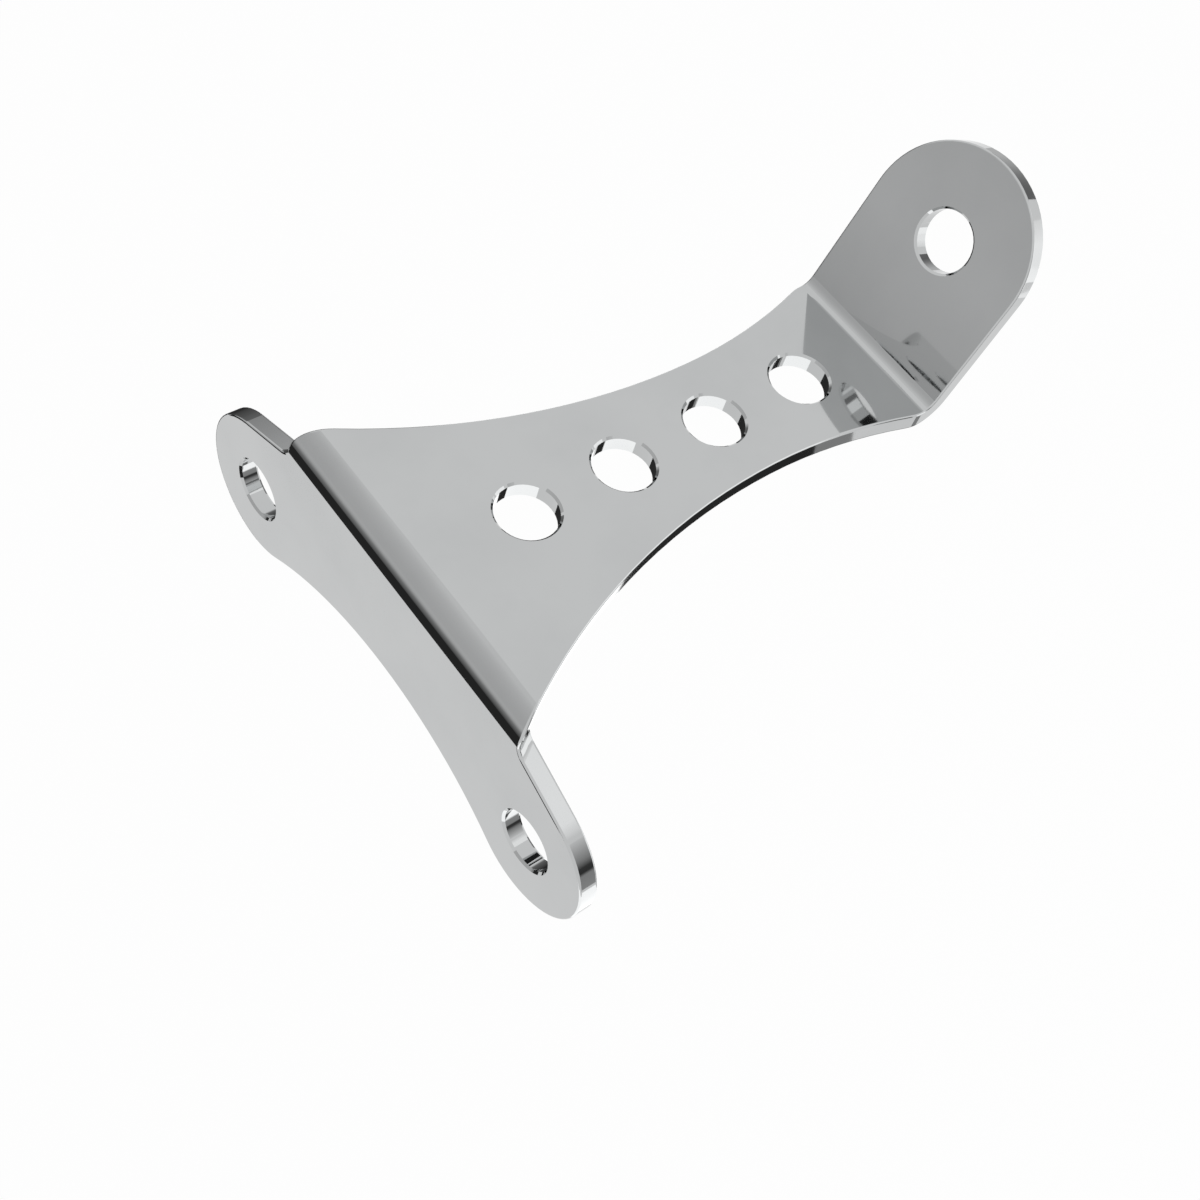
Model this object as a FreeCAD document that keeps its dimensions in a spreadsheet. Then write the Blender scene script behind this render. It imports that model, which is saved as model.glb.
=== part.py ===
"""Headlight mounting bracket: one steel plate, cut to outline, folded twice and drilled.

A two-lobed flange hangs down at the fork side and takes two bolts. From its upper edge the waisted web
runs forward, with a row of lightening holes, and ends in a raised tab with the hole for the lamp's bolt.

Frame, in millimetres: the origin lies on the flange's outer face, midway between its two bolt holes.
X runs forward to the lamp, Y along the folds and Z up. The plate is symmetric about the XZ plane, so one
half is shaped and mirrored.
"""

import FreeCAD, Part
import math
import os
import Sketcher

SIZES = {
    # plate and folds
    "sheet_thickness": 3.5,
    "fold_radius": 2.5,
    "edge_round": 0.4,
    "rim_chamfer": 0.4,
    # flange at the fork
    "bolt_spacing": 78.0,
    "bolt_hole": 11.0,
    "lobe_radius": 13.75,
    "lobe_drop": 4.95,
    "shoulder_radius": 2.0,
    "neck_radius": 61.0,
    # web between the folds
    "web_reach": 99.1,
    "waist_reach": 67.6,
    "waist_width": 24.6,
    "edge_radius": 125.0,
    "corner_radius": 8.0,
    "row_start": 23.9,
    "row_pitch": 20.0,
    "row_count": 4,
    "row_hole": 11.0,
    # raised tab at the lamp
    "tab_width": 33.8,
    "tab_angle": 70.0,
    "lamp_hole_height": 22.0,
    "lamp_hole": 11.0,
}

# What follows from the sizes
OUTER_RADIUS = "(Sizes.fold_radius + Sizes.sheet_thickness)"
FOLD_LINE = "(Sizes.lobe_radius + Sizes.lobe_drop)"
WEB_UNDERSIDE = f"({FOLD_LINE} + Sizes.fold_radius)"
WEB_TOP = f"({FOLD_LINE} + {OUTER_RADIUS})"
HALF_SPACING = "(Sizes.bolt_spacing / 2)"
HALF_WAIST = "(Sizes.waist_width / 2)"
HALF_TAB = "(Sizes.tab_width / 2)"
EDGE_CENTRE = f"({HALF_WAIST} + Sizes.edge_radius)"
REAR_RUN = f"(Sizes.waist_reach - {OUTER_RADIUS})"
REAR_HALF = f"({EDGE_CENTRE} - sqrt(Sizes.edge_radius * Sizes.edge_radius - {REAR_RUN} * {REAR_RUN}))"
TAB_FOOT_REACH = "(Sizes.web_reach + Sizes.fold_radius * sin(Sizes.tab_angle * 1deg))"
TAB_FOOT_HEIGHT = f"({WEB_TOP} + Sizes.fold_radius * (1 - cos(Sizes.tab_angle * 1deg)))"

QUARTER_TURN = 90.0
SHARP_TURN = math.radians(30.0)
START, END, CENTRE = 1, 2, 3
ORIGIN, ACROSS_AXIS, UP_AXIS = -1, -1, -2
UP = FreeCAD.Vector(0, 0, 1)
ALONG_FOLD = FreeCAD.Vector(0, 1, 0)


def fill_sheet():
    """Writes each driving size into its own named cell."""
    sheet = doc.addObject("Spreadsheet::Sheet", "Sizes")
    for row, (alias, number) in enumerate(SIZES.items(), start=1):
        sheet.set(f"A{row}", alias)
        sheet.set(f"B{row}", str(number))
        sheet.setAlias(f"B{row}", alias)
    doc.recompute()
    return sheet


def value(expression):
    """Number that an expression in the sizes comes to, in millimetres."""
    return float(sizes.evalExpression(expression))


# Rear fold, at the web's fork end


def lobe_side():
    """Ends of the flange's straight side: at the web's edge, and where it touches the lobe's round end."""
    start = (value(REAR_HALF), value(FOLD_LINE))
    lobe, radius = (value(HALF_SPACING), 0), value("Sizes.lobe_radius")
    slope = math.atan2(lobe[1] - start[1], lobe[0] - start[0]) + math.asin(radius / math.dist(start, lobe))
    return start, (lobe[0] - radius * math.sin(slope), radius * math.cos(slope))


def box_between(low, high):
    """Square block between two opposite corners."""
    low, high = FreeCAD.Vector(*low), FreeCAD.Vector(*high)
    size = high - low
    return Part.makeBox(size.x, size.y, size.z, low)


def bent_strip(half, foot):
    """Rear fold and, down to the foot, the flange's top below it, before their ends are shaped."""
    thickness, turn_reach, fold_line = value("Sizes.sheet_thickness"), value(OUTER_RADIUS), value(FOLD_LINE)
    corner = FreeCAD.Vector(turn_reach, 0, value(WEB_UNDERSIDE))
    across, through = ALONG_FOLD * half, UP * thickness
    corners = [corner, corner + across, corner + across + through, corner + through, corner]
    axis_point = FreeCAD.Vector(turn_reach, 0, fold_line)
    turn = Part.Face(Part.makePolygon(corners)).revolve(axis_point, -ALONG_FOLD, QUARTER_TURN)
    return turn.fuse(box_between((0, 0, foot), (thickness, half, fold_line)))


def waist_cutter():
    """Upright round block that leaves the web's waisted edge."""
    foot = FreeCAD.Vector(value("Sizes.waist_reach"), value(EDGE_CENTRE), 0)
    return Part.makeCylinder(value("Sizes.edge_radius"), 2 * value(WEB_TOP), foot, UP)


def runs_through(block, edge):
    """True for an edge of the waist's round cut that runs through the sheet."""
    kinds = [face.Surface.TypeId for face in block.ancestorsOfType(edge, Part.Face)]
    span = edge.BoundBox
    return "Part::GeomCylinder" in kinds and span.XLength > span.ZLength


def shoulder_block():
    """Block whose side follows the web's edge down to the flange's shoulder and then the lobe's side."""
    shoulder_radius = value("Sizes.shoulder_radius")
    rear, front = -value("Sizes.sheet_thickness"), value(OUTER_RADIUS) + shoulder_radius / 2
    top = value(WEB_TOP) + shoulder_radius
    start, touch = lobe_side()
    fall = (start[1] - touch[1]) / (touch[0] - start[0])
    reach = start[0] + start[1] / fall
    outline = [(start[0] - (top - start[1]) / fall, top), (reach, 0), (reach, top)]
    outline = [FreeCAD.Vector(rear, across, up) for across, up in outline + outline[:1]]
    above = Part.Face(Part.makePolygon(outline)).extrude(FreeCAD.Vector(front - rear, 0, 0))
    block = box_between((rear, 0, 0), (front, reach, top)).cut(above.common(waist_cutter()))
    corners = [edge for edge in block.Edges if runs_through(block, edge)]
    shoulder = min(corners, key=lambda edge: edge.BoundBox.ZMax)
    return block.makeFillet(shoulder_radius, [shoulder])


def rear_fold():
    """Half of the rear fold with the shoulder of the flange below it, as far as the lobe's straight side."""
    return bent_strip(*lobe_side()[1]).common(shoulder_block())


# Drawing in a sketch


def base(role):
    """One of the plate's own base planes or axes."""
    return next(feature for feature in plate.Origin.OriginFeatures if feature.Role == role)


def new_sketch(name, role, **offsets):
    """Empty sketch on a base plane, moved or turned by the offsets, each an expression."""
    sketch = plate.newObject("Sketcher::SketchObject", name)
    sketch.AttachmentSupport = [(base(role), "")]
    sketch.MapMode = "FlatFace"
    angle = value(offsets.get("tilt", "0"))
    sketch.AttachmentOffset = FreeCAD.Placement(FreeCAD.Vector(), FreeCAD.Rotation(-ALONG_FOLD, angle))
    if "forward" in offsets:
        sketch.setExpression("AttachmentOffset.Base.x", offsets["forward"])
    if "lift" in offsets:
        sketch.setExpression("AttachmentOffset.Base.z", offsets["lift"])
    if "tilt" in offsets:
        sketch.setExpression("AttachmentOffset.Rotation.Angle", offsets["tilt"])
    return sketch


def add_line(sketch, start, end, guide=False):
    """Straight edge between two points of the sketch."""
    return sketch.addGeometry(Part.LineSegment(FreeCAD.Vector(*start), FreeCAD.Vector(*end)), guide)


def add_circle(sketch, centre, radius, guide=False):
    """Full circle about a point of the sketch."""
    return sketch.addGeometry(Part.Circle(FreeCAD.Vector(*centre), UP, radius), guide)


def add_arc(sketch, centre, start, end):
    """Round edge about a centre, anticlockwise from its start to its end."""
    start_angle = math.atan2(start[1] - centre[1], start[0] - centre[0])
    end_angle = math.atan2(end[1] - centre[1], end[0] - centre[0])
    circle = Part.Circle(FreeCAD.Vector(*centre), UP, math.dist(centre, start))
    return sketch.addGeometry(Part.ArcOfCircle(circle, start_angle, end_angle))


def relate(sketch, kind, *places):
    """Geometric relation between points and edges of the sketch."""
    sketch.addConstraint(Sketcher.Constraint(kind, *places))


def measure(sketch, name, kind, *places_and_size):
    """Named dimension of the sketch: its kind, the places that it spans and the expression for its size."""
    *places, size = places_and_size
    index = sketch.addConstraint(Sketcher.Constraint(kind, *places, value(size)))
    sketch.renameConstraint(index, name)
    sketch.setExpression(f"Constraints.{name}", size)


def towards(start, end, distance):
    """Point at a distance from the start, on the way to the end."""
    share = distance / math.dist(start, end)
    return start[0] + (end[0] - start[0]) * share, start[1] + (end[1] - start[1]) * share


# Flat pieces of one half of the plate


def draw_web():
    """Half of the web seen from above: X across the sketch, Y up it."""
    sketch = new_sketch("web_outline", "XY_Plane", lift=WEB_UNDERSIDE)
    rear, waist, front = value(OUTER_RADIUS), value("Sizes.waist_reach"), value("Sizes.web_reach")
    half_waist, half_tab, corner = value(HALF_WAIST), value(HALF_TAB), value("Sizes.corner_radius")
    half_rear = value(REAR_HALF)
    widening = half_tab - half_waist
    front_radius = ((front - waist) ** 2 + widening ** 2) / (2 * widening) - corner
    front_centre = (waist, half_waist + front_radius)
    corner_centre = (front, half_tab - corner)
    blend = towards(front_centre, corner_centre, front_radius)

    rear_side = add_line(sketch, (rear, 0), (rear, half_rear))
    rear_arc = add_arc(sketch, (waist, value(EDGE_CENTRE)), (rear, half_rear), (waist, half_waist))
    front_arc = add_arc(sketch, front_centre, (waist, half_waist), blend)
    corner_arc = add_arc(sketch, corner_centre, (front, half_tab), blend)
    front_side = add_line(sketch, (front, half_tab), (front, 0))
    middle = add_line(sketch, (front, 0), (rear, 0))

    relate(sketch, "Coincident", rear_side, END, rear_arc, START)
    relate(sketch, "Coincident", rear_arc, END, front_arc, START)
    relate(sketch, "Tangent", front_arc, END, corner_arc, END)
    relate(sketch, "Coincident", corner_arc, START, front_side, START)
    relate(sketch, "Coincident", front_side, END, middle, START)
    relate(sketch, "Coincident", middle, END, rear_side, START)
    relate(sketch, "PointOnObject", rear_side, START, ACROSS_AXIS)
    relate(sketch, "PointOnObject", front_side, END, ACROSS_AXIS)
    relate(sketch, "Vertical", rear_side)
    relate(sketch, "Vertical", front_side)
    relate(sketch, "Vertical", rear_arc, CENTRE, rear_arc, END)
    relate(sketch, "Vertical", front_arc, CENTRE, front_arc, START)
    relate(sketch, "Vertical", corner_arc, CENTRE, corner_arc, START)
    measure(sketch, "rear_reach", "DistanceX", ORIGIN, START, rear_side, START, OUTER_RADIUS)
    measure(sketch, "waist_reach", "DistanceX", ORIGIN, START, rear_arc, END, "Sizes.waist_reach")
    measure(sketch, "front_reach", "DistanceX", ORIGIN, START, front_side, START, "Sizes.web_reach")
    measure(sketch, "half_waist", "DistanceY", ORIGIN, START, rear_arc, END, HALF_WAIST)
    measure(sketch, "half_tab", "DistanceY", ORIGIN, START, front_side, START, HALF_TAB)
    measure(sketch, "edge_radius", "Radius", rear_arc, "Sizes.edge_radius")
    measure(sketch, "corner_radius", "Radius", corner_arc, "Sizes.corner_radius")
    return sketch


def draw_flange():
    """Half of the flange seen from the lamp's side: Y across the sketch, Z up it."""
    sketch = new_sketch("flange_outline", "YZ_Plane")
    top, half_spacing, lobe_radius = value(FOLD_LINE), value(HALF_SPACING), value("Sizes.lobe_radius")
    neck_radius = value("Sizes.neck_radius")
    lobe = (half_spacing, 0)
    side_start, side_end = lobe_side()
    neck = (0, -math.sqrt((neck_radius + lobe_radius) ** 2 - half_spacing ** 2))
    neck_end = towards(neck, lobe, neck_radius)

    fold_side = add_line(sketch, (0, top), side_start)
    lobe_line = add_line(sketch, side_start, side_end)
    lobe_arc = add_arc(sketch, lobe, neck_end, side_end)
    neck_arc = add_arc(sketch, neck, neck_end, (0, neck[1] + neck_radius))
    middle = add_line(sketch, (0, neck[1] + neck_radius), (0, top))

    relate(sketch, "Coincident", fold_side, END, lobe_line, START)
    relate(sketch, "Tangent", lobe_line, END, lobe_arc, END)
    relate(sketch, "Tangent", lobe_arc, START, neck_arc, START)
    relate(sketch, "Coincident", neck_arc, END, middle, START)
    relate(sketch, "Coincident", middle, END, fold_side, START)
    relate(sketch, "PointOnObject", fold_side, START, UP_AXIS)
    relate(sketch, "PointOnObject", neck_arc, END, UP_AXIS)
    relate(sketch, "PointOnObject", neck_arc, CENTRE, UP_AXIS)
    relate(sketch, "PointOnObject", lobe_arc, CENTRE, ACROSS_AXIS)
    relate(sketch, "Horizontal", fold_side)
    measure(sketch, "fold_line", "DistanceY", ORIGIN, START, fold_side, START, FOLD_LINE)
    measure(sketch, "rear_half", "DistanceX", ORIGIN, START, fold_side, END, REAR_HALF)
    measure(sketch, "half_spacing", "DistanceX", ORIGIN, START, lobe_arc, CENTRE, HALF_SPACING)
    measure(sketch, "lobe_radius", "Radius", lobe_arc, "Sizes.lobe_radius")
    measure(sketch, "neck_radius", "Radius", neck_arc, "Sizes.neck_radius")
    return sketch


def draw_front_fold():
    """Half of the plate's section at the front fold, with the fold's axis above it: Y across, Z up."""
    sketch = new_sketch("front_fold_section", "YZ_Plane", lift="Sizes.web_reach")
    half, low, high = value(HALF_TAB), value(WEB_UNDERSIDE), value(WEB_TOP)
    axis_height = high + value("Sizes.fold_radius")

    underside = add_line(sketch, (0, low), (half, low))
    side = add_line(sketch, (half, low), (half, high))
    topside = add_line(sketch, (half, high), (0, high))
    middle = add_line(sketch, (0, high), (0, low))
    axis = add_line(sketch, (0, axis_height), (half, axis_height), guide=True)

    relate(sketch, "Coincident", underside, END, side, START)
    relate(sketch, "Coincident", side, END, topside, START)
    relate(sketch, "Coincident", topside, END, middle, START)
    relate(sketch, "Coincident", middle, END, underside, START)
    relate(sketch, "PointOnObject", middle, START, UP_AXIS)
    relate(sketch, "PointOnObject", axis, START, UP_AXIS)
    relate(sketch, "Vertical", middle)
    relate(sketch, "Vertical", side)
    relate(sketch, "Vertical", side, END, axis, END)
    relate(sketch, "Horizontal", underside)
    relate(sketch, "Horizontal", topside)
    relate(sketch, "Horizontal", axis)
    measure(sketch, "web_underside", "DistanceY", ORIGIN, START, underside, START, WEB_UNDERSIDE)
    measure(sketch, "thickness", "DistanceY", side, START, side, END, "Sizes.sheet_thickness")
    measure(sketch, "fold_radius", "DistanceY", side, END, axis, END, "Sizes.fold_radius")
    measure(sketch, "half_tab", "DistanceX", ORIGIN, START, side, START, HALF_TAB)
    return sketch


def draw_tab():
    """Half of the tab on its inner face: along the tab across the sketch, Y up it."""
    sketch = new_sketch(
        "tab_outline", "XY_Plane", forward=TAB_FOOT_REACH, lift=TAB_FOOT_HEIGHT, tilt="Sizes.tab_angle"
    )
    half, height = value(HALF_TAB), value("Sizes.lamp_hole_height")

    foot = add_line(sketch, (0, 0), (0, half))
    side = add_line(sketch, (0, half), (height, half))
    end_arc = add_arc(sketch, (height, 0), (height + half, 0), (height, half))
    middle = add_line(sketch, (height + half, 0), (0, 0))

    relate(sketch, "Coincident", foot, END, side, START)
    relate(sketch, "Tangent", side, END, end_arc, END)
    relate(sketch, "Coincident", end_arc, START, middle, START)
    relate(sketch, "Coincident", middle, END, foot, START)
    relate(sketch, "Coincident", foot, START, ORIGIN, START)
    relate(sketch, "Vertical", foot)
    relate(sketch, "Horizontal", side)
    relate(sketch, "Horizontal", middle)
    relate(sketch, "PointOnObject", end_arc, CENTRE, ACROSS_AXIS)
    measure(sketch, "half_tab", "DistanceY", ORIGIN, START, side, START, HALF_TAB)
    measure(sketch, "hole_height", "DistanceX", ORIGIN, START, end_arc, CENTRE, "Sizes.lamp_hole_height")
    return sketch


def pad_sheet(name, sketch, inwards=False):
    """Flat piece of the plate, as thick as the sheet."""
    pad = plate.newObject("PartDesign::Pad", name)
    pad.Profile = sketch
    pad.Reversed = inwards
    pad.setExpression("Length", "Sizes.sheet_thickness")
    doc.recompute()
    return pad


def turn_front_fold(sketch):
    """Front fold: the plate's section turned up about the fold's axis."""
    fold = plate.newObject("PartDesign::Revolution", "front_fold")
    fold.Profile = sketch
    fold.ReferenceAxis = (sketch, ["Axis0"])
    fold.Reversed = True
    fold.setExpression("Angle", "Sizes.tab_angle")
    doc.recompute()
    return fold


def mirror_half():
    """Whole plate from its half, about the plane through its middle."""
    mirrored = plate.newObject("PartDesign::Mirrored", "both_halves")
    mirrored.TransformMode = "Whole shape"
    mirrored.MirrorPlane = (base("XZ_Plane"), [""])
    plate.Tip = mirrored
    doc.recompute()
    return mirrored


# Holes and edges


def drill(name, role, centre, diameter, backwards=False, **offsets):
    """Round hole right through the plate; its centre is one or two expressions in its sketch's plane."""
    sketch = new_sketch(f"{name}_circle", role, **offsets)
    across, up = centre
    circle = add_circle(sketch, (value(across), value(up)), value(diameter) / 2)
    measure(sketch, "across", "DistanceX", ORIGIN, START, circle, CENTRE, across)
    measure(sketch, "up", "DistanceY", ORIGIN, START, circle, CENTRE, up)
    measure(sketch, "diameter", "Diameter", circle, diameter)
    hole = plate.newObject("PartDesign::Pocket", name)
    hole.Profile = sketch
    hole.Type = "ThroughAll"
    hole.Reversed = backwards
    doc.recompute()
    if hole.Shape.Volume >= hole.BaseFeature.Shape.Volume:
        raise RuntimeError(f"{name} takes nothing off the plate")
    return hole


def repeat_row(hole):
    """Row of lightening holes along the middle of the web."""
    row = plate.newObject("PartDesign::LinearPattern", "lightening_row")
    row.Originals = [hole]
    row.Direction = (base("X_Axis"), [""])
    row.Mode = "Spacing"
    row.setExpression("Offset", "Sizes.row_pitch")
    row.setExpression("Occurrences", "Sizes.row_count")
    plate.Tip = row
    doc.recompute()
    return row


def is_sharp(shape, edge):
    """True where the two faces at an edge meet at a clear angle."""
    middle = edge.valueAt((edge.FirstParameter + edge.LastParameter) / 2)
    normals = []
    for face in shape.ancestorsOfType(edge, Part.Face):
        normals.append(face.normalAt(*face.Surface.parameter(middle)))
    return len(normals) == 2 and normals[0].getAngle(normals[1]) > SHARP_TURN


def sharp_edges(shape, closed):
    """Names of the sharp edges: closed ones are the rims of the holes, open ones follow the outline."""
    names = []
    for index, edge in enumerate(shape.Edges, start=1):
        if edge.isClosed() == closed and is_sharp(shape, edge):
            names.append(f"Edge{index}")
    return names


def chamfer_rims(feature):
    """Small chamfer on both rims of every hole, as deburring leaves it."""
    chamfer = plate.newObject("PartDesign::Chamfer", "rim_chamfers")
    chamfer.Base = (feature, sharp_edges(feature.Shape, closed=True))
    chamfer.setExpression("Size", "Sizes.rim_chamfer")
    doc.recompute()
    return chamfer


def round_outline(feature):
    """Small round on both edges of the outline, as polishing leaves them."""
    rounds = plate.newObject("PartDesign::Fillet", "outline_rounds")
    rounds.Base = (feature, sharp_edges(feature.Shape, closed=False))
    rounds.setExpression("Radius", "Sizes.edge_round")
    doc.recompute()
    return rounds


doc = FreeCAD.newDocument("HeadlightBracket")
sizes = fill_sheet()

fold_solid = doc.addObject("Part::Feature", "rear_fold")
fold_solid.Shape = rear_fold()
fold_solid.Placement = FreeCAD.Placement()

plate = doc.addObject("PartDesign::Body", "bracket")
plate.Label = "bracket"
plate.BaseFeature = fold_solid
doc.recompute()

pad_sheet("web", draw_web())
pad_sheet("flange", draw_flange())
turn_front_fold(draw_front_fold())
pad_sheet("tab", draw_tab(), inwards=True)
drill("bolt_hole", "YZ_Plane", (HALF_SPACING, "0"), "Sizes.bolt_hole", backwards=True)
mirror_half()
row_hole = drill("row_hole", "XY_Plane", ("Sizes.row_start", "0"), "Sizes.row_hole", backwards=True)
repeat_row(row_hole)
lamp_hole = drill(
    "lamp_hole",
    "XY_Plane",
    ("Sizes.lamp_hole_height", "0"),
    "Sizes.lamp_hole",
    forward=TAB_FOOT_REACH,
    lift=TAB_FOOT_HEIGHT,
    tilt="Sizes.tab_angle",
)
round_outline(chamfer_rims(lamp_hole))

for item in doc.Objects:
    if "Invalid" in item.State or "Error" in item.State:
        raise RuntimeError(f"{item.Name} could not be built: {item.State}")
if plate.Shape.isNull() or not plate.Shape.isValid() or len(plate.Shape.Solids) != 1:
    raise RuntimeError("the plate is not one sound solid")

os.makedirs("parts", exist_ok=True)
plate.Shape.exportStep(os.path.join("parts", f"{plate.Label}.step"))
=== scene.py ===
"""Headlight mounting bracket in polished chrome, on a pale floor in a plain soft studio."""

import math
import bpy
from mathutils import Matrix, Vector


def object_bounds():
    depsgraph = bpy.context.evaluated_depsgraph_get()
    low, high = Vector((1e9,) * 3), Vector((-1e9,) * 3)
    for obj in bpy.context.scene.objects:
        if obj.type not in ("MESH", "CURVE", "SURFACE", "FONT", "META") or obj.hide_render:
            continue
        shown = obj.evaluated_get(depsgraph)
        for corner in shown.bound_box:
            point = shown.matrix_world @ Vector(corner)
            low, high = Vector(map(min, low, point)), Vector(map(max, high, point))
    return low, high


bl_info = {
    "name": "Headlight Mounting Bracket",
    "version": (1, 0, 0),
    "blender": (4, 5, 0),
    "location": "View3D > Sidebar > Bracket",
    "description": "Finishes the folded bracket in polished chrome and sets up its studio",
    "category": "Object",
}

import bpy
from bpy.props import FloatProperty, FloatVectorProperty, PointerProperty
from bpy.types import Operator, Panel, PropertyGroup
from mathutils import Vector

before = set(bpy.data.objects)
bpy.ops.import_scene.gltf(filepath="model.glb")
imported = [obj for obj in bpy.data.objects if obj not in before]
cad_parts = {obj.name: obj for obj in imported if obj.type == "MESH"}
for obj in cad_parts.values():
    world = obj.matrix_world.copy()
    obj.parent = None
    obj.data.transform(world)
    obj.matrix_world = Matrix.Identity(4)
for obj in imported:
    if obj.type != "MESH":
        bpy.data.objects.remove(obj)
cad_box = [list(corner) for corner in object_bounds()]
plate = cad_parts["bracket"]
middle = (Vector(cad_box[0]) + Vector(cad_box[1])) / 2

FLOOR_RADIUS = 6.0
FLOOR_SIDES = 96
WHITE_SHARE = 0.9
LAMP_AZIMUTH = math.radians(-43)
LAMP_DISTANCE = 0.6
LAMP_RISE = 0.02
LAMP_WIDTH = 0.36
LAMP_HEIGHT = 0.5
SENSOR_WIDTH = 36.0
NEAREST_SEEN = 0.01
FARTHEST_SEEN = 50.0


class ChromeFinish(PropertyGroup):
    """Look of the polished chrome plate."""

    colour: FloatVectorProperty(
        name="Colour",
        description="Tint of the chrome where it reflects white",
        subtype="COLOR",
        min=0.0,
        max=1.0,
        default=(0.51, 0.519, 0.521),
    )
    dull_colour: FloatVectorProperty(
        name="Dull colour",
        description="Tint of the faint patches that polishing leaves",
        subtype="COLOR",
        min=0.0,
        max=1.0,
        default=(0.48, 0.489, 0.492),
    )
    gloss_roughness: FloatProperty(
        name="Gloss",
        description="Roughness of the best polished places",
        subtype="FACTOR",
        min=0.0,
        max=1.0,
        default=0.035,
    )
    dull_roughness: FloatProperty(
        name="Dullness",
        description="Roughness of the faint patches",
        subtype="FACTOR",
        min=0.0,
        max=1.0,
        default=0.07,
    )
    patch_size: FloatProperty(
        name="Patch size",
        description="Width of the faint patches",
        subtype="DISTANCE",
        unit="LENGTH",
        min=0.001,
        default=0.02,
    )
    polish_line_gap: FloatProperty(
        name="Polish line gap",
        description="Distance between the hair-fine polishing lines",
        subtype="DISTANCE",
        unit="LENGTH",
        min=0.0001,
        default=0.0006,
    )
    polish_line_height: FloatProperty(
        name="Polish line height",
        description="Height of the hair-fine polishing lines",
        subtype="DISTANCE",
        unit="LENGTH",
        min=0.0,
        default=0.0000001,
    )


class StudioSet(PropertyGroup):
    """Floor, glowing and dark cards that paint reflections in the chrome, and light round the bracket."""

    floor_drop: FloatProperty(
        name="Floor drop",
        description="How far the floor lies below the bracket's frame origin",
        subtype="DISTANCE",
        unit="LENGTH",
        min=0.02,
        default=0.225,
    )
    floor_colour: FloatVectorProperty(
        name="Floor colour",
        description="Colour of the pale floor",
        subtype="COLOR",
        min=0.0,
        max=1.0,
        default=(0.85, 0.85, 0.85),
    )
    sky_light: FloatProperty(
        name="Soft light",
        description="Strength of the even light from all round",
        min=0.0,
        default=1.0,
    )
    key_light: FloatProperty(
        name="Key light",
        description="Power of the large soft lamp",
        unit="POWER",
        min=0.0,
        default=0.32,
    )
    card_distance: FloatProperty(
        name="Card distance",
        description="How far the standing cards are from the bracket's middle",
        subtype="DISTANCE",
        unit="LENGTH",
        min=0.2,
        default=0.45,
    )


class CameraPlace(PropertyGroup):
    """Where the photograph was taken from."""

    location: FloatVectorProperty(
        name="Location",
        description="Place of the camera",
        subtype="TRANSLATION",
        unit="LENGTH",
        default=(-0.106703, -0.111782, 0.242238),
    )
    turn: FloatVectorProperty(
        name="Turn",
        description="Rotation of the camera about X, Y and Z",
        subtype="EULER",
        unit="ROTATION",
        default=(math.radians(34.503), math.radians(-12.06), math.radians(-37.781)),
    )
    lens: FloatProperty(
        name="Lens",
        description="Focal length on a 36 mm wide sensor, in millimetres",
        unit="CAMERA",
        min=1.0,
        default=52.447,
    )


def add_node(tree, kind, label, place, **values):
    """One named node of a material or of the world, with the given settings."""
    node = tree.nodes.new(kind)
    node.label = label
    node.location = place
    for name, value in values.items():
        setattr(node, name, value)
    return node


def chrome_material(finish):
    """Polished chrome with faint dull patches and hair-fine polishing lines."""
    material = bpy.data.materials.new("polished_chrome")
    material.use_nodes = True
    tree = material.node_tree
    tree.nodes.clear()
    link = tree.links.new
    output = add_node(tree, "ShaderNodeOutputMaterial", "Surface", (900, 0))
    chrome = add_node(tree, "ShaderNodeBsdfPrincipled", "Chrome", (600, 0))
    chrome.inputs["Metallic"].default_value = 1.0
    place = add_node(tree, "ShaderNodeTexCoord", "Place on the plate", (-900, 0))

    patches = add_node(tree, "ShaderNodeTexNoise", "Dull patches", (-500, 200))
    patches.inputs["Scale"].default_value = 1.0 / finish.patch_size
    patches.inputs["Detail"].default_value = 4.0
    patches.inputs["Roughness"].default_value = 0.55
    spread = add_node(tree, "ShaderNodeMapRange", "Patch contrast", (-250, 200))
    spread.inputs["From Min"].default_value = 0.4
    spread.inputs["From Max"].default_value = 0.75
    tint = add_node(tree, "ShaderNodeMix", "Patch colour", (200, 250), data_type="RGBA")
    tint.inputs["A"].default_value = (*finish.colour, 1.0)
    tint.inputs["B"].default_value = (*finish.dull_colour, 1.0)
    dullness = add_node(tree, "ShaderNodeMapRange", "Patch roughness", (200, 0))
    dullness.inputs["To Min"].default_value = finish.gloss_roughness
    dullness.inputs["To Max"].default_value = finish.dull_roughness

    stretch = add_node(tree, "ShaderNodeMapping", "Along the polishing", (-700, -300))
    stretch.inputs["Scale"].default_value = (0.02, 1.0, 1.0)
    lines = add_node(tree, "ShaderNodeTexNoise", "Polishing lines", (-500, -300))
    lines.inputs["Scale"].default_value = 1.0 / finish.polish_line_gap
    lines.inputs["Detail"].default_value = 2.0
    relief = add_node(tree, "ShaderNodeBump", "Polish relief", (200, -300))
    relief.inputs["Distance"].default_value = finish.polish_line_height
    relief.inputs["Strength"].default_value = 1.0

    link(place.outputs["Object"], patches.inputs["Vector"])
    link(place.outputs["Object"], stretch.inputs["Vector"])
    link(stretch.outputs["Vector"], lines.inputs["Vector"])
    link(patches.outputs["Fac"], spread.inputs["Value"])
    link(spread.outputs["Result"], tint.inputs["Factor"])
    link(spread.outputs["Result"], dullness.inputs["Value"])
    link(lines.outputs["Fac"], relief.inputs["Height"])
    link(tint.outputs["Result"], chrome.inputs["Base Color"])
    link(dullness.outputs["Result"], chrome.inputs["Roughness"])
    link(relief.outputs["Normal"], chrome.inputs["Normal"])
    link(chrome.outputs["BSDF"], output.inputs["Surface"])
    return material


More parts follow.
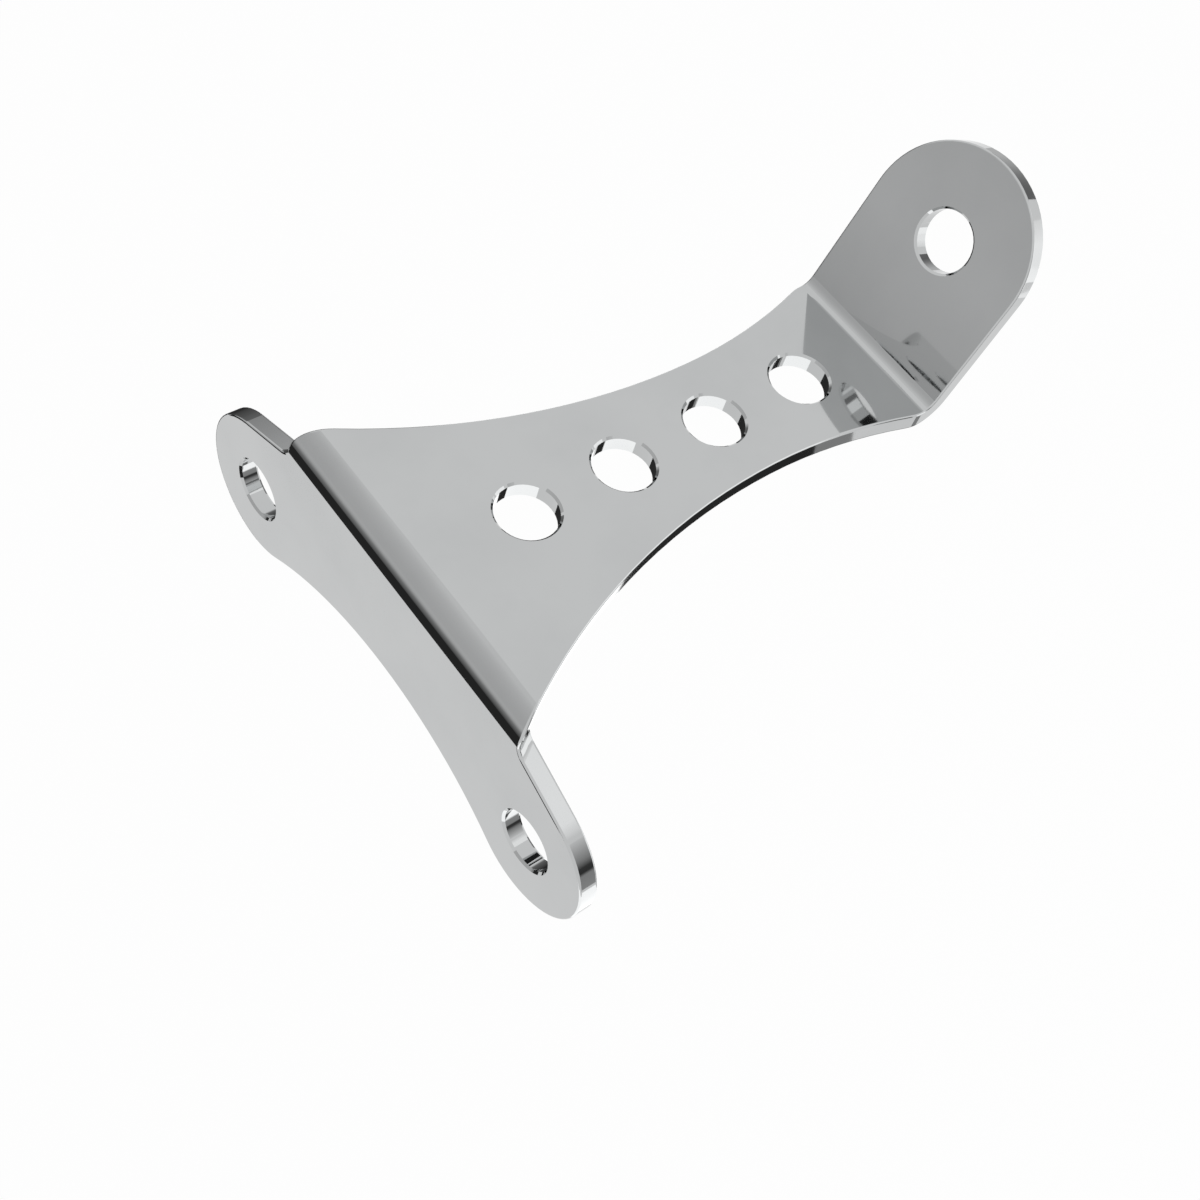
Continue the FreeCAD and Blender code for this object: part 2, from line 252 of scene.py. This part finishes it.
def seen_directly(tree, place):
    """Factor that is 1 for what the camera, the chrome's gloss or glass sees, and 0 for the light itself."""
    left, height = place
    path = add_node(tree, "ShaderNodeLightPath", "Seen by", (left, height))
    either = add_node(tree, "ShaderNodeMath", "Camera or gloss", (left + 200, height), operation="ADD")
    any_of = add_node(tree, "ShaderNodeMath", "Or glass", (left + 400, height), operation="ADD")
    any_of.use_clamp = True
    tree.links.new(path.outputs["Is Camera Ray"], either.inputs[0])
    tree.links.new(path.outputs["Is Glossy Ray"], either.inputs[1])
    tree.links.new(either.outputs[0], any_of.inputs[0])
    tree.links.new(path.outputs["Is Transmission Ray"], any_of.inputs[1])
    return any_of.outputs[0]


def glow_material(name, strength):
    """Even glow of a card that shines by itself and is no lamp, seen in the chrome as a painted reflection;
    gives the material and its glow node.
    """
    material = bpy.data.materials.new(name)
    material.use_nodes = True
    tree = material.node_tree
    tree.nodes.clear()
    output = add_node(tree, "ShaderNodeOutputMaterial", "Surface", (600, 0))
    glow = add_node(tree, "ShaderNodeEmission", "Glow", (400, 0))
    glow.inputs["Strength"].default_value = strength
    tree.links.new(glow.outputs["Emission"], output.inputs["Surface"])
    return material, glow


def shaded_glow_material(name, bottom, top, tones):
    """Glow that changes from bottom to top; each pair in tones is a share of that height and its tone."""
    brightest = max(tone for share, tone in tones)
    material, glow = glow_material(name, brightest)
    tree = material.node_tree
    place = add_node(tree, "ShaderNodeTexCoord", "Place", (-600, 0))
    parts = add_node(tree, "ShaderNodeSeparateXYZ", "Height", (-400, 0))
    share_of_height = add_node(tree, "ShaderNodeMapRange", "Share of height", (-200, 0))
    share_of_height.inputs["From Min"].default_value = bottom
    share_of_height.inputs["From Max"].default_value = top
    ramp = add_node(tree, "ShaderNodeValToRGB", "Tones", (0, 0))
    stops = ramp.color_ramp.elements
    stops.remove(stops[-1])
    for index, (share, tone) in enumerate(tones):
        stop = stops[0] if index == 0 else stops.new(share)
        stop.position = share
        grey = tone / brightest
        stop.color = (grey, grey, grey, 1.0)
    tree.links.new(place.outputs["Object"], parts.inputs["Vector"])
    tree.links.new(parts.outputs["Z"], share_of_height.inputs["Value"])
    tree.links.new(share_of_height.outputs["Result"], ramp.inputs["Fac"])
    tree.links.new(ramp.outputs["Color"], glow.inputs["Color"])
    return material


class BRACKET_OT_chrome_plate(Operator):
    """Gives the folded plate its polished chrome"""

    bl_idname = "bracket.chrome_plate"
    bl_label = "Chrome the plate"

    def execute(self, context):
        plate.material_slots[0].material = chrome_material(context.scene.chrome_finish)
        return {"FINISHED"}


class BRACKET_OT_studio(Operator):
    """Builds the pale floor, the cards that paint reflections in the chrome, the light and the camera"""

    bl_idname = "bracket.studio"
    bl_label = "Set up the studio"

    def execute(self, context):
        studio = context.scene.studio_set
        self.floor_drop = studio.floor_drop
        self.card_distance = studio.card_distance
        self.lay_floor(studio)
        self.light_sky(context.scene, studio)
        self.hang_key_lamp(studio)
        self.set_up_cards()
        self.place_camera(context.scene)
        context.scene.view_settings.view_transform = "Standard"
        return {"FINISHED"}

    def lay_floor(self, studio):
        """Large pale floor, mostly plain white where it is seen, with a matte share for the shadow."""
        bpy.ops.mesh.primitive_circle_add(
            vertices=FLOOR_SIDES,
            radius=FLOOR_RADIUS,
            fill_type="NGON",
            location=(middle.x, middle.y, -self.floor_drop),
        )
        floor = bpy.context.active_object
        floor.name = "studio_floor"
        material = bpy.data.materials.new("pale_floor")
        material.use_nodes = True
        tree = material.node_tree
        tree.nodes.clear()
        output = add_node(tree, "ShaderNodeOutputMaterial", "Surface", (700, 0))
        matte = add_node(tree, "ShaderNodeBsdfDiffuse", "Matte", (0, 100))
        matte.inputs["Color"].default_value = (*studio.floor_colour, 1.0)
        white = add_node(tree, "ShaderNodeEmission", "White", (0, -100))
        white.inputs["Strength"].default_value = 1.0
        share = add_node(tree, "ShaderNodeMath", "Share of white", (200, 300), operation="MULTIPLY")
        share.inputs[1].default_value = WHITE_SHARE
        mix = add_node(tree, "ShaderNodeMixShader", "Floor", (450, 0))
        tree.links.new(seen_directly(tree, (-500, 300)), share.inputs[0])
        tree.links.new(share.outputs[0], mix.inputs["Fac"])
        tree.links.new(matte.outputs["BSDF"], mix.inputs[1])
        tree.links.new(white.outputs["Emission"], mix.inputs[2])
        tree.links.new(mix.outputs["Shader"], output.inputs["Surface"])
        floor.data.materials.append(material)

    def light_sky(self, scene, studio):
        """Even white light from all round."""
        world = bpy.data.worlds.new("soft_room")
        world.use_nodes = True
        tree = world.node_tree
        tree.nodes.clear()
        output = add_node(tree, "ShaderNodeOutputWorld", "World", (300, 0))
        room = add_node(tree, "ShaderNodeBackground", "Room", (0, 0))
        room.inputs["Color"].default_value = (1.0, 1.0, 1.0, 1.0)
        room.inputs["Strength"].default_value = studio.sky_light
        tree.links.new(room.outputs["Background"], output.inputs["Surface"])
        scene.world = world

    def hang_key_lamp(self, studio):
        """Large soft lamp to the right of the camera."""
        direction = Vector((math.cos(LAMP_AZIMUTH), math.sin(LAMP_AZIMUTH), LAMP_RISE))
        bpy.ops.object.light_add(type="AREA", location=middle + direction * LAMP_DISTANCE)
        lamp = bpy.context.active_object
        lamp.name = "key_softbox"
        lamp.rotation_euler = direction.to_track_quat("Z", "Y").to_euler()
        lamp.data.shape = "RECTANGLE"
        lamp.data.size = LAMP_WIDTH
        lamp.data.size_y = LAMP_HEIGHT
        lamp.data.energy = studio.key_light

    def set_up_cards(self):
        """Glowing and dark cards round the bracket, seen only in the chrome: painted reflections of light
        and shade.
        """
        # Glowing card, darker towards its foot, seen only in the chrome: painted shade along the rear fold
        # from its dark foot up to the web, and the tab's painted grey reflection.
        self.stand_card(
            "left_panel",
            azimuth=150,
            width=0.62,
            foot=0.0,
            top=1.5,
            tones=(
                (0.0, 0.03), (0.02, 0.05), (0.05, 0.12), (0.1, 0.28), (0.14, 0.6), (0.165, 0.68),
                (0.2, 0.65), (0.27, 0.66), (0.45, 0.74), (0.7, 0.88), (1.0, 0.9),
            ),
        )
        # Dark and grey glowing card seen only in the chrome: painted reflection that gives the far lobe its
        # dark tip and grey side.
        self.stand_card(
            "far_reflection_panel",
            azimuth=84,
            width=0.42,
            foot=0.0,
            top=0.385,
            tones=((0.0, 0.03), (0.25, 0.08), (0.6, 0.14), (0.83, 0.22), (0.9, 0.5), (1.0, 0.9)),
        )
        # Glowing card seen only in the chrome: painted dark reflection on the near lobe's side and on the
        # far bolt hole's wall.
        self.stand_card(
            "near_reflection_panel",
            azimuth=-75,
            width=0.15,
            foot=0.0,
            top=0.555,
            tones=((0.0, 0.4), (0.3, 0.36), (0.36, 0.05), (0.45, 0.06), (0.58, 0.35), (1.0, 0.9)),
        )
        # Glowing card seen only in the chrome: painted dark reflection in the lamp hole's wall.
        self.stand_card(
            "front_reflection_panel",
            azimuth=11.5,
            width=0.235,
            foot=0.0,
            top=0.405,
            tones=(
                (0.0, 0.25), (0.3, 0.35), (0.42, 0.6), (0.62, 0.65), (0.73, 0.5), (0.84, 0.18), (0.9, 0.3),
                (1.0, 0.9),
            ),
        )
        # Card glowing brighter than white, seen only in the chrome: painted highlight band on the tab's edge
        # and in the lamp hole.
        self.stand_card(
            "front_highlight_card",
            azimuth=-18,
            width=0.145,
            foot=0.0,
            top=0.31,
            tones=((0.0, 1.35), (0.8, 1.45), (1.0, 1.2)),
        )
        # Card glowing brighter than white, seen only in the chrome: painted highlight on the upper part of
        # the near lobe's side.
        self.stand_card(
            "high_highlight_card",
            azimuth=-52,
            width=0.22,
            foot=0.625,
            top=1.075,
            tones=((0.0, 1.0), (0.4, 1.35), (1.0, 1.35)),
        )
        # Dark card seen only in the chrome: painted black reflection line at the start of the rear fold.
        self.lay_card("left_dark_card", (-0.0755, 0.11), (0.09, 0.28), lift=0.185, tone=0.03)
        # Dark, grey and glowing cards lying just above the pale floor, seen only in the chrome: painted
        # black, grey and white reflection patches in the holes' walls and on the web's near edge.
        self.lay_card("far_dark_reflection_card", (0.16, 0.3), (0.44, 0.3), lift=0.004, tone=0.035)
        self.lay_card("front_dark_reflection_card", (0.243, -0.088), (0.134, 0.125), lift=0.008, tone=0.03, turn=-15)
        self.lay_card("front_grey_reflection_card", (0.262, -0.165), (0.14, 0.05), lift=0.006, tone=0.33, turn=-15)
        self.lay_card("camera_side_highlight_card", (-0.03, -0.22), (0.44, 0.28), lift=0.004, tone=1.7)
        self.lay_card("front_low_highlight_card", (0.19, 0.04), (0.12, 0.12), lift=0.004, tone=1.6)

    def stand_card(self, name, azimuth, width, foot, top, tones):
        """Upright card facing the bracket.

        Foot and top are heights above the floor, and each tone stands at its share of the card's height.
        """
        turn = math.radians(azimuth)
        height = top - foot
        bottom = foot - self.floor_drop
        place = middle + Vector((math.cos(turn), math.sin(turn), 0)) * self.card_distance
        place.z = bottom + height / 2
        rotation = (math.radians(90), 0, turn - math.radians(90))
        material = shaded_glow_material(name, bottom, bottom + height, tones)
        self.add_card(name, place, rotation, (width, height), material)

    def lay_card(self, name, centre, size, lift, tone, turn=0):
        """Level card of one tone, lifted above the floor, with its centre and size in plan."""
        place = (*centre, lift - self.floor_drop)
        rotation = (0, 0, math.radians(turn))
        material, glow = glow_material(name, tone)
        self.add_card(name, place, rotation, size, material)

    def add_card(self, name, place, rotation, size, material):
        """One flat card that only the chrome sees, as a painted reflection of light or shade."""
        bpy.ops.mesh.primitive_plane_add(size=1.0, location=place, rotation=rotation)
        card = bpy.context.active_object
        card.name = name
        card.scale = (*size, 1.0)
        bpy.ops.object.transform_apply(location=True, rotation=True, scale=True)
        card.data.materials.append(material)
        card.visible_camera = False
        card.visible_diffuse = False
        card.visible_shadow = False

    def place_camera(self, scene):
        """Camera at the photograph's viewing angle."""
        place = scene.camera_place
        bpy.ops.object.camera_add(location=place.location, rotation=place.turn)
        camera = bpy.context.active_object
        camera.name = "photo_camera"
        camera.data.sensor_width = SENSOR_WIDTH
        camera.data.lens = place.lens
        camera.data.clip_start = NEAREST_SEEN
        camera.data.clip_end = FARTHEST_SEEN
        scene.camera = camera


class BRACKET_PT_sidebar(Panel):
    """Sizes, colours and steps of the bracket's scene"""

    bl_label = "Headlight bracket"
    bl_idname = "BRACKET_PT_sidebar"
    bl_space_type = "VIEW_3D"
    bl_region_type = "UI"
    bl_category = "Bracket"

    def draw(self, context):
        layout = self.layout
        scene = context.scene
        for heading, group, operator in (
            ("Plate", scene.chrome_finish, BRACKET_OT_chrome_plate),
            ("Studio", scene.studio_set, BRACKET_OT_studio),
            ("Camera", scene.camera_place, None),
        ):
            box = layout.box()
            box.label(text=heading)
            for name in group.__annotations__:
                box.prop(group, name)
            if operator:
                box.operator(operator.bl_idname)


CLASSES = (
    ChromeFinish,
    StudioSet,
    CameraPlace,
    BRACKET_OT_chrome_plate,
    BRACKET_OT_studio,
    BRACKET_PT_sidebar,
)


def register():
    """Registers the classes and gives every scene the bracket's settings."""
    for cls in CLASSES:
        bpy.utils.register_class(cls)
    bpy.types.Scene.chrome_finish = PointerProperty(type=ChromeFinish)
    bpy.types.Scene.studio_set = PointerProperty(type=StudioSet)
    bpy.types.Scene.camera_place = PointerProperty(type=CameraPlace)


def unregister():
    """Takes the settings and the classes away again."""
    del bpy.types.Scene.camera_place
    del bpy.types.Scene.studio_set
    del bpy.types.Scene.chrome_finish
    for cls in reversed(CLASSES):
        bpy.utils.unregister_class(cls)


def main():
    register()
    bpy.ops.bracket.chrome_plate()
    bpy.ops.bracket.studio()
    bpy.context.view_layer.update()


if __name__ == "__main__":
    main()
